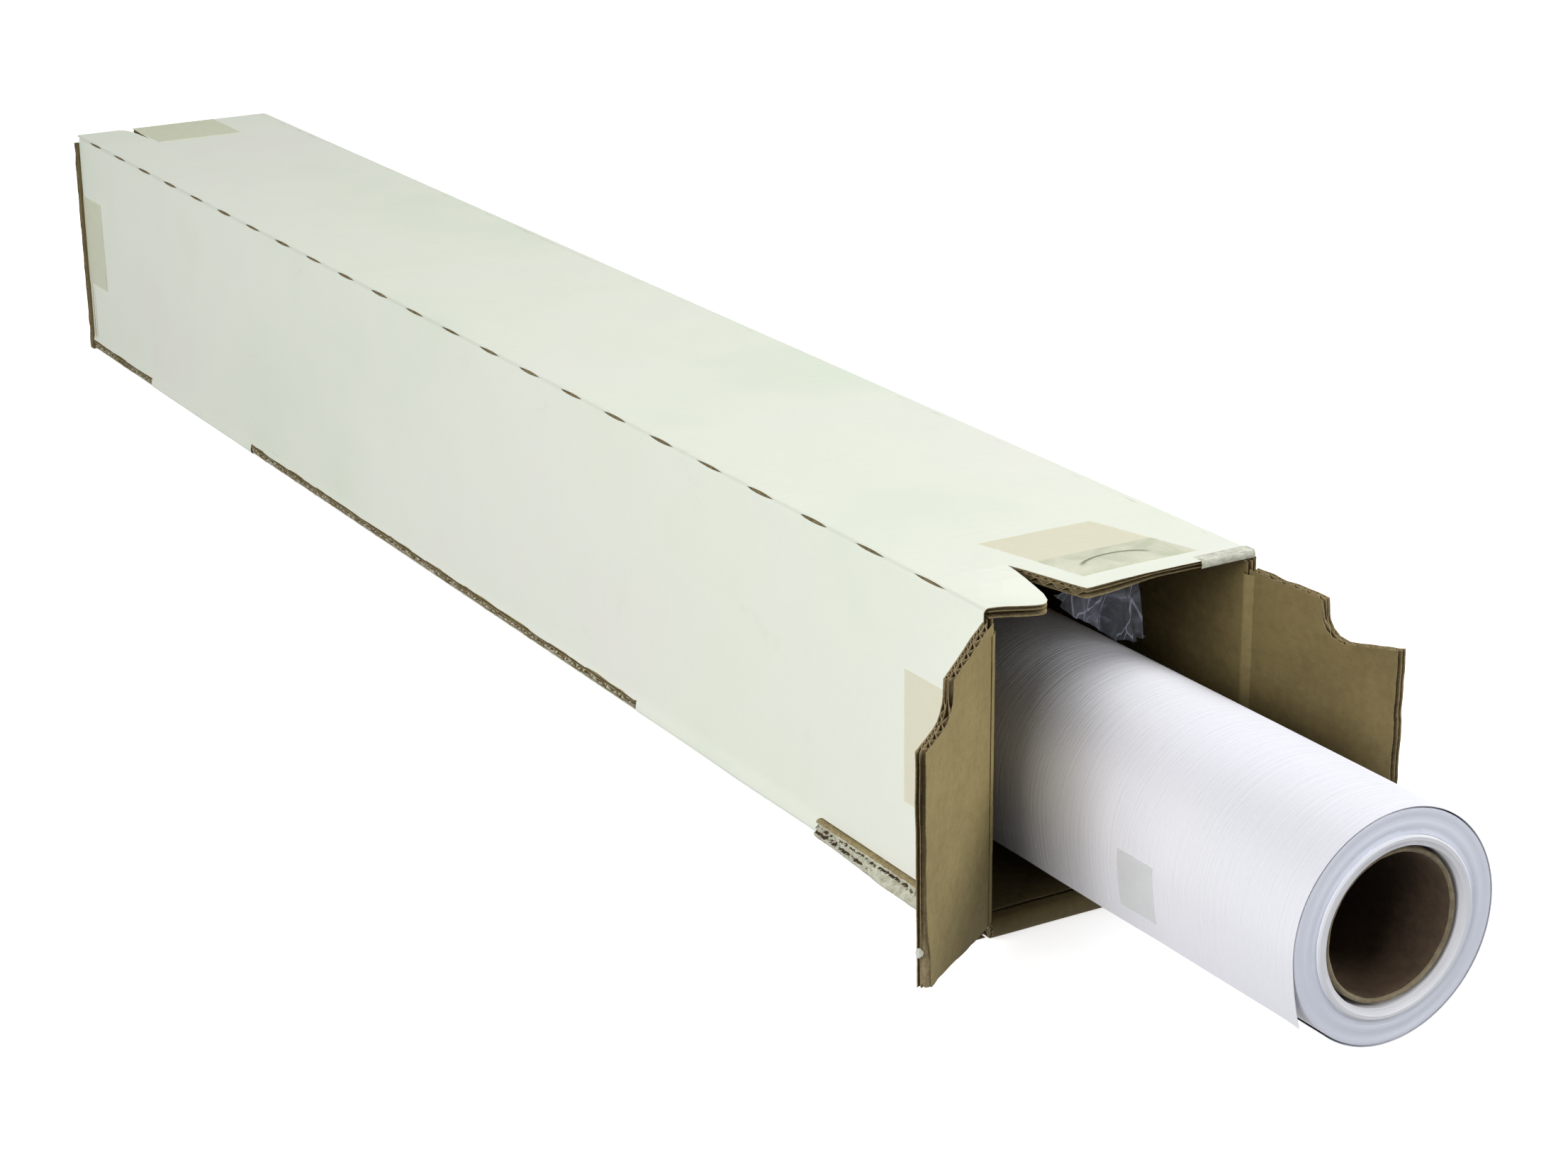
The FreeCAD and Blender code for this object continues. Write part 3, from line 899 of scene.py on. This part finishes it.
def tapePatch(name, body, nodes, corners, normal, lift, material, seed, follow=None, cells=(24, 18),
              wrinkle=0.12, bumps=None):
    # a strip of tape laid over a flat face; corners go round it, in order
    a, b, c, d = (np.array(p, float) for p in corners)
    n = np.array(normal, float)
    rows, cols = cells
    sides = []
    for depth in (1, 0):
        sheet = np.zeros((rows + 1, cols + 1, 3))
        for i in range(rows + 1):
            for j in range(cols + 1):
                s, t = i / rows, j / cols
                p = (1 - s) * (1 - t) * a + s * (1 - t) * b + s * t * c + (1 - s) * t * d
                q = follow(p) if follow else p
                rim = min(1, 6 * min(s, 1 - s), 6 * min(t, 1 - t))
                high = lift + wrinkle * rim * abs(noise.noise(Vector(p) / 5.0 + Vector((seed, 0, 0))))
                if bumps:
                    high = min(high + bumps(p) * rim, bumpRoom)
                sheet[i, j] = q + n * (high if depth else 0.02)
        sides.append(sheet)
    m = cols + 1
    faces, total = [], (rows + 1) * m

    def index(i, j):
        return i * m + j

    for i in range(rows):
        for j in range(cols):
            quad = (index(i, j), index(i, j + 1), index(i + 1, j + 1), index(i + 1, j))
            faces += [quad, tuple(total + k for k in reversed(quad))]
    border = [index(0, j) for j in range(cols)] + [index(i, cols) for i in range(rows)]
    border += [index(rows, j) for j in range(cols, 0, -1)] + [index(i, 0) for i in range(rows, 0, -1)]
    for k, p in enumerate(border):
        q = border[(k + 1) % len(border)]
        faces.append((q, p, p + total, q + total))
    shape = Shape()
    shape.add(np.vstack([s.reshape(-1, 3) for s in sides]), faces, 0)
    place(shape.make(name, [material], smooth=True, angle=60), body, "masking_tape", *nodes)


# the crescent's dark colour is painted shade in a pressed wrinkle of the loose tape
wrinkleShadeMark = {"centre": (453.0, 10.0), "radii": (7.0, 15.0), "wide": 0.13, "colour": (0.26, 0.27, 0.17)}
masking = tapeStrip("maskingTape", (0.90, 0.87, 0.70), (0.87, 0.85, 0.68), 0.58, IOR=1.45)
farTape = tapeStrip("paleTape", (0.85, 0.87, 0.69), (0.83, 0.85, 0.68), 0.40, IOR=1.45)
crumpledTape = tapeStrip("crumpledTape", (0.68, 0.71, 0.54), (0.84, 0.84, 0.69), 0.66, wrinkleShadeMark, IOR=1.5)
tabTape = tapeStrip("clearTape", (0.86, 0.88, 0.86), (0.82, 0.84, 0.82), 0.22, IOR=1.5)


def onLid(p):
    flat = lidWarp(np.array([[p[0], p[1], 0.0]]))[0]
    return np.array([flat[0], flat[1], top - flat[2]])


bumpRoom = cadCorners("near_top_tape")[1][2] - top - 0.01


def looseWaves(p):
    # the loose front half of the near tape stands up in waves
    return 0.7 * max(0, noise.noise((p[0] / 9, p[1] / 5, 2.0)))


def onFront(p):
    return np.array([p[0], p[1] - 0.12, p[2]])


nearHalf = [(412, -23, top), (440, -15.5, top), (440, 34.5, top), (412, 27, top)]
looseHalf = [(439.5, -15.6, top), (460, -10, top), (460, 40, top), (439.5, 34.4, top)]
tapePatch("nearTopTape", "lid", ["near_top_tape"], nearHalf, (0, 0, 1), 0.16, masking, 2, onLid)
tapePatch("nearTopTapeLoose", "lid", [], looseHalf, (0, 0, 1), 0.2, crumpledTape, 4, onLid,
          cells=(40, 70), wrinkle=0.5, bumps=looseWaves)

# the lid's right corner, where its white face is peeled back from the raw edge
corner = {"across": (34.5, 58.8), "back": 4.8, "drop": 2.7}
rings = []
for y in np.arange(corner["across"][0], corner["across"][1], 0.6):
    ring = []
    for s in np.linspace(-corner["back"], corner["drop"], 16):
        rough = 0.10 + 0.10 * noise.noise((y / 2.2, s / 1.6, 4.0))
        over = max(0, s)
        edge = onLid((near - 0.1 + min(s, 0), y, top))
        bulge = 0.45 * sin(min(over, 2.4) / 2.4 * pi * 0.8)
        bulge += 0.25 * noise.noise((y / 3, s, 9.0)) * (over > 0)
        ring.append(edge + (bulge + 0.12 * (over > 0), 0, rough * (over < 0.4) - over))
    ring += [np.array(p) - (0.25, 0, 0.3) for p in ring[::-1]]
    rings.append(ring)
sweptPiece("peeledCorner", rings, peeled, "lid", "carton_board")
farTop = [(x, y, top) for x, y in rectangle(far + 0.5, -25.5, -425, 24.5)]
nearSide, farSide = ([(x, left, z) for x, z in rectangle(*sides)]
                     for sides in ((420, 36.5, 467.6, 88.5), (-465.5, 41, -436, 92)))
endTop, endSide = ([(far, y, z) for y, z in rectangle(*sides)]
                   for sides in ((-25.5, 92, 24.5, 122.5), (-61.0, 41, -25.5, 92)))
tapePatch("farTopTape", "lid", ["far_top_tape"], farTop, (0, 0, 1), 0.15, farTape, 6, onLid)
tapePatch("nearSideTape", "front", ["near_side_tape"], nearSide, (0, -1, 0), 0.16, masking, 8, onFront)
tapePatch("farSideTape", "front", ["far_side_tape"], farSide, (0, -1, 0), 0.16, farTape, 10, onFront)
tapePatch("farEndTapeTop", "far_end", ["far_end_tape_top"], endTop, (-1, 0, 0), 0.16, farTape, 12)
tapePatch("farEndTapeSide", "far_end", ["far_end_tape_side"], endSide, (-1, 0, 0), 0.18, farTape, 14)
print("tapes made")


core = {
    # its near end, as steps from there and radii, and how far that end stands back from the paper
    "back": 1.2, "outer": 27.4, "bore": 25.4,
    "rim": [(-3, 27.5), (-0.8, 27.4), (-0.1, 26.9), (0, 26.3), (-0.2, 25.9), (-1.0, 25.5), (-5, 25.4)],
}
rollFar, rollNear = rollLow[0], rollHigh[0]
centre = rollAxis[1:]
rollPaper = papered("bondPaper", (0.83, 0.83, 0.90), (0.78, 0.81, 0.82))
rollEdges = paperEdges("turnEdges", (0.86, 0.90, 1.0), (0.77, 0.82, 0.98))
innerEdges = paperEdges("innerTurnEdges", (0.88, 0.89, 0.93), (0.74, 0.77, 0.84))
coreBoard = kraft("coreBoard", (0.33, 0.28, 0.18), (0.17, 0.135, 0.08), (900, 60, 60))
# the core's bore: the same board painted much darker, as painted shade inside the tube
coreBorePaintedShade = kraft("coreBorePaintedShade", (0.115, 0.075, 0.045), (0.065, 0.044, 0.028), (120, 400, 400))


def polar(radius, angle, x):
    return (x, centre[0] + radius * cos(angle), centre[1] + radius * sin(angle))


def revolved(name, profile, marks, materials, body, slot, nodes, count, shake):
    # a closed profile of (x, radius) points turned about the roll's axis
    shape = Shape()
    rings = []
    for i in range(count):
        a = 2 * pi * i / count
        rings.append([polar(r + shake(a, x, r), a, x) for x, r in profile])
    rings = np.array(rings)
    n, m = rings.shape[:2]
    faces, given = [], []
    for i in range(n):
        for j in range(m):
            k, l = (i + 1) % n, (j + 1) % m
            faces.append((i * m + j, i * m + l, k * m + l, k * m + j))
            given.append(marks[j])
    shape.add(rings.reshape(-1, 3), faces, given)
    place(shape.make(name, materials, smooth=True, angle=30), body, slot, *nodes)


turnsRadius = cadCorners("inner_turns")[1][2] - centre[1]
proud = cadCorners("inner_turns")[1][0] - rollNear
woundRadius = cadCorners("wound_paper")[1][2] - centre[1]

endSteps = [(turnsRadius + 0.1, 0.0), (turnsRadius + 2.0, -0.25), (turnsRadius + 2.4, -0.08), (36.8, -0.08),
            (37.0, -0.16), (39.2, -0.12), (39.4, -0.06), (woundRadius - 0.2, -0.05), (woundRadius, -0.12)]
profile = [(rollFar, turnsRadius + 0.1)] + [(rollNear + x, r) for r, x in endSteps] + [(rollFar, woundRadius)]
marks = [1] + [0] * (len(endSteps) - 1) + [1, 0]


def woundShake(a, x, r):
    return 0.12 * noise.noise((3 * cos(a), 3 * sin(a), r / 3)) if r > turnsRadius + 0.5 else 0.0


def turnsShake(a, x, r):
    # the innermost turns are a little loose round the core
    slack = 0.35 * cos(a + 0.9) - 0.25 if r < 29.4 else 0.0
    return slack + 0.1 * noise.noise((4 * cos(a), 4 * sin(a), r))


def coreShake(a, x, r):
    # the core is worn at its near end
    worn = 0.5 * noise.noise((5 * cos(a), 5 * sin(a), r / 2))
    worn += 0.3 * noise.noise((17 * cos(a), 17 * sin(a), r))
    return worn * (0.45 if x > rollNear - 6 else 0.0)


revolved("woundPaper", profile, marks, [rollEdges, rollPaper], "roll", "white_paper", ["wound_paper"],
         count=200, shake=woundShake)
ringFront = rollNear + proud
profile = [(rollFar + proud, 28.9), (ringFront - 1.6, 28.9), (ringFront - 0.5, 29.3), (ringFront - 0.25, 30.3),
           (ringFront, 30.6), (ringFront, 31.7), (ringFront - 0.5, turnsRadius), (rollFar + proud, turnsRadius)]
revolved("innerTurns", profile, [1, 1, 0, 0, 0, 0, 1, 0], [innerEdges, rollPaper], "roll", "white_paper",
         ["inner_turns"], count=160, shake=turnsShake)
coreNear = rollNear - core["back"]
profile = [(rollFar, core["outer"])] + [(coreNear + x, r) for x, r in core["rim"]] + [(rollFar, core["bore"])]
revolved("coreTube", profile, [0, 0, 0, 0, 0, 0, 1, 1, 0], [coreBoard, coreBorePaintedShade], "roll", "core_board",
         ["core"], count=180, shake=coreShake)

wrap = {
    # angles where it leaves the roll and where it starts, and the drop of its loose edge
    "leaves": 183.0, "lap": 229.5, "drop": 25.0, "radius": 42.0, "paper": 0.22,
    "tabLift": 0.24, "tab": 0.14, "tabStops": 4,
}


def wrapLine():
    # the outer turn in section: round the roll, then straight down off it to the loose leading edge
    line = []
    for a in np.radians(np.arange(wrap["lap"] - 360, wrap["leaves"] + 0.1, 2.5)):
        line.append((wrap["radius"] * cos(a), wrap["radius"] * sin(a)))
    a = radians(wrap["leaves"])
    start = np.array(line[-1])
    down = np.array([-sin(a), cos(a)])
    for s in np.linspace(2, wrap["drop"], 14):
        lean = 2.6 * (s / wrap["drop"]) ** 2
        line.append(tuple(start + down * s + np.array([lean, 0])))
    return np.array(line)


section = wrapLine()
tangent = np.gradient(section, axis=0)
outward = np.column_stack([tangent[:, 1], -tangent[:, 0]])
outward /= np.linalg.norm(outward, axis=1)[:, None]
loose = ease((np.arange(len(section)) - len(section) + 22) / 22.0)


def wrapRing(x, thick, flare=0.0, lift=0.0, part=slice(None)):
    # the section of the outer turn at x, or of the tab of tape that lies on it
    wave = np.array([noise.noise((x / 60, j / 9, 2.0)) for j in range(len(section))])
    swing = 0.9 * noise.noise((x / 130, 4.0, 0)) + 0.4 * noise.noise((x / 35, 1.0, 0))
    push = 0.10 * wave + loose * swing + flare * loose
    face = section + outward * (push + lift)[:, None]
    back = face - outward * thick
    ring = np.vstack([face[part], back[part][::-1]])
    return np.column_stack([np.full(len(ring), x), centre[0] + ring[:, 0], centre[1] + ring[:, 1]])


stations = np.concatenate([np.arange(rollFar, rollNear - 6, 7.0), np.linspace(rollNear - 6, rollNear, 8)])
rings = [wrapRing(x, wrap["paper"], 0.35 * ease((x - rollNear + 8) / 8)) for x in stations]
sweptPiece("outerWrap", rings, rollPaper, "wrap", "white_paper", "outer_wrap", angle=40)

tabLow, tabHigh = cadCorners("sheet_tape")
first = int(np.argmin(np.abs(np.degrees(np.arctan2(section[:, 1], section[:, 0])) - 178)))
tabPart = slice(first, -wrap["tabStops"])
rings = [wrapRing(x, wrap["tab"], lift=wrap["tabLift"], part=tabPart) for x in np.linspace(tabLow[0], tabHigh[0], 9)]
sweptPiece("sheetTape", rings, tabTape, "wrap", "clear_tape", "sheet_tape", angle=40)
print("roll made")


film = {
    # cells across and along, the mouth's sides, its front and how far back it goes, its height under the lid,
    # and the roll it has to clear
    "across": 70, "along": 40, "from": -16.5, "to": 21.0, "x": 457.0, "back": 46.0, "under": 121.4,
    "rollHeight": 46.0, "rollRoom": 45.0, "gap": 1.2,
}


def filmPoint(s, t):
    # s runs across the mouth from the lid's slit; t from inside, along under the lid, then down towards the roll
    y = film["from"] + (film["to"] - film["from"]) * s
    roof = film["rollHeight"] + sqrt(max(film["rollRoom"] ** 2 - (y - centre[0]) ** 2, 0)) + film["gap"]
    hang = max(0, t - 0.3) / 0.7
    fold = noise.noise((s * 7.0 + 0.5 * hang, hang * 0.7, 0.4))
    fold += 0.6 * noise.noise((s * 21.0 + hang, hang * 0.9, 2.4))
    drop = 5.0 + 34.0 * s ** 0.8 + 2.5 * noise.noise((s * 9, 1.0, 7.0))
    gather = 1 - 0.10 * hang
    x = film["x"] - film["back"] * max(0, 0.3 - t) / 0.3 - 9 * hang - 7.0 * s + 4.5 * fold * (0.35 + hang)
    across = film["from"] + 22.0 + (y - film["from"] - 22.0) * gather + 15 * hang * s
    return (x, across, max(film["under"] - drop * hang - 0.8 * abs(fold), roof))


rows = [[filmPoint(i / film["across"], j / film["along"]) for j in range(film["along"] + 1)]
        for i in range(film["across"] + 1)]
shape = Shape()
shape.sweep(rows, 0, closed=False)
bag = shape.make("filmBag", [filmSheet()], smooth=True, angle=180)
film["points"] = np.array(rows) * mm
for i in range(film["across"]):
    for j in range(film["along"]):
        a, b = film["points"][i, j], film["points"][i + 1, j]
place(bag, "carton", "clear_film", "poly_bag")


studio = {"floor": 40, "floorHeight": -0.0006, "floorGlow": 0.72, "sky": 0.21}
floorPaint = Surface("studioFloorPaint", Base_Color=(0.93, 0.93, 0.93, 1), Roughness=0.9,
                     Emission_Color=(1, 1, 1, 1), Emission_Strength=studio["floorGlow"])
bpy.ops.mesh.primitive_plane_add(size=studio["floor"], location=(0, 0, studio["floorHeight"]))
studioFloor = bpy.context.object
studioFloor.name = "studioFloor"
studioFloor.data.materials.append(floorPaint.material)
studioFloor.visible_diffuse = False      # the floor stays pale without lighting the carton from below

world = bpy.data.worlds.new("studio")
world.use_nodes = True
sky = world.node_tree.nodes["Background"]
sky.inputs["Color"].default_value = (1.0, 1.0, 1.0, 1)
sky.inputs["Strength"].default_value = studio["sky"]
bpy.context.scene.world = world


def softLight(name, position, aim, size, power):
    lamp = bpy.data.lights.new(name, "AREA")
    lamp.shape, lamp.size, lamp.size_y = "RECTANGLE", size[0], size[1]
    lamp.energy = power
    obj = bpy.data.objects.new(name, lamp)
    obj.location = position
    obj.rotation_euler = (Vector(aim) - Vector(position)).to_track_quat("-Z", "Y").to_euler()
    bpy.context.scene.collection.objects.link(obj)


studioLights = {
    # position, the point it faces, its sides and its power
    "leftLight": ((0.3, -2.2, 0.9), (0.2, 0, 0.05), (1.4, 1.0), 14.5),
    "leftNearLight": ((1.1, -1.9, 0.9), (0.4, 0, 0.05), (1.2, 1.0), 27),
    "rightLight": ((0.5, 1.8, 1.6), (0.3, 0, 0.05), (1.2, 1.0), 46),
    "nearLight": ((2.0, 1.3, 1.1), (0.5, 0, 0.05), (1.0, 1.0), 18),
}
for name, (position, aim, size, power) in studioLights.items():
    softLight(name, position, aim, size, power)

view = {"position": (1.3410, -0.6510, 0.5130), "heading": 30.44, "down": 19.77, "roll": -0.56, "lens": 74.6}
camera = bpy.data.cameras.new("camera")
camera.lens, camera.sensor_width = view["lens"], 36.0
camera.clip_start, camera.clip_end = 0.02, 60
lookout = bpy.data.objects.new("camera", camera)
heading, down = radians(view["heading"]), radians(view["down"])
forward = Vector((-cos(heading) * cos(down), sin(heading) * cos(down), -sin(down)))
lookout.rotation_mode = "QUATERNION"
tilt = Matrix.Rotation(radians(view["roll"]), 3, "Z").to_quaternion()
lookout.rotation_quaternion = forward.to_track_quat("-Z", "Y") @ tilt
lookout.location = view["position"]
bpy.context.scene.collection.objects.link(lookout)
bpy.context.scene.camera = lookout
bpy.context.scene.view_settings.view_transform = "Standard"

print("scene made")
